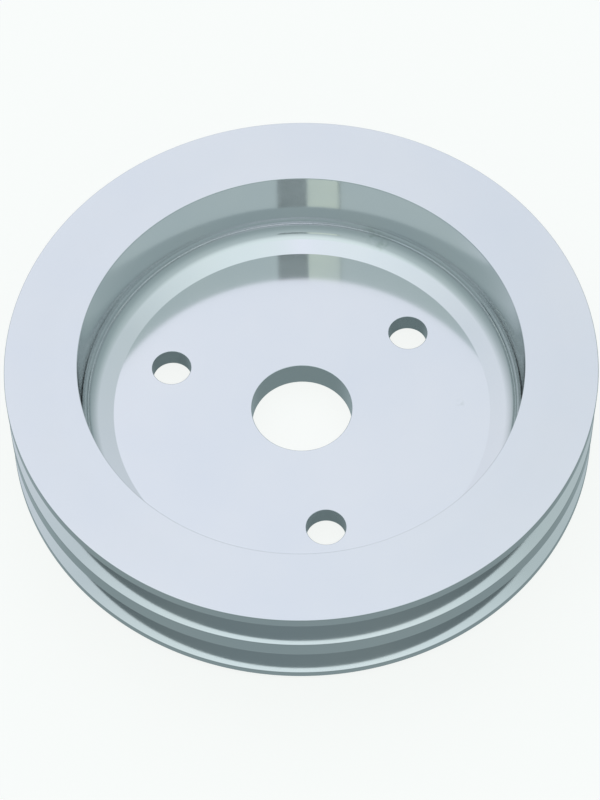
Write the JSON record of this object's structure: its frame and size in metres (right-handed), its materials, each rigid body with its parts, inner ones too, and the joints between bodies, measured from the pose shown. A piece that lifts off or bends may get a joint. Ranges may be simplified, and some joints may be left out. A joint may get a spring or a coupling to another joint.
{
  "type": "crankshaft pulley",
  "caption": "Machined aluminium V-belt crankshaft pulley: wide rim with belt grooves, deep dished front, flat web with centre bore and bolt holes.",
  "frame": {"origin": "on the crank's axis, in the plane of the back mounting face; the pilot boss reaches 2.5 mm below it", "axes": "+Z along the crank's axis from the engine to the open front face; one bolt hole lies on the -Y side"},
  "size_m": [0.165, 0.165, 0.0343],
  "materials": {
    "machined_aluminium": "turned and polished bare metal"
  },
  "bodies": {
    "root": {"crank_pulley": "machined_aluminium"}
  },
  "joints": []
}
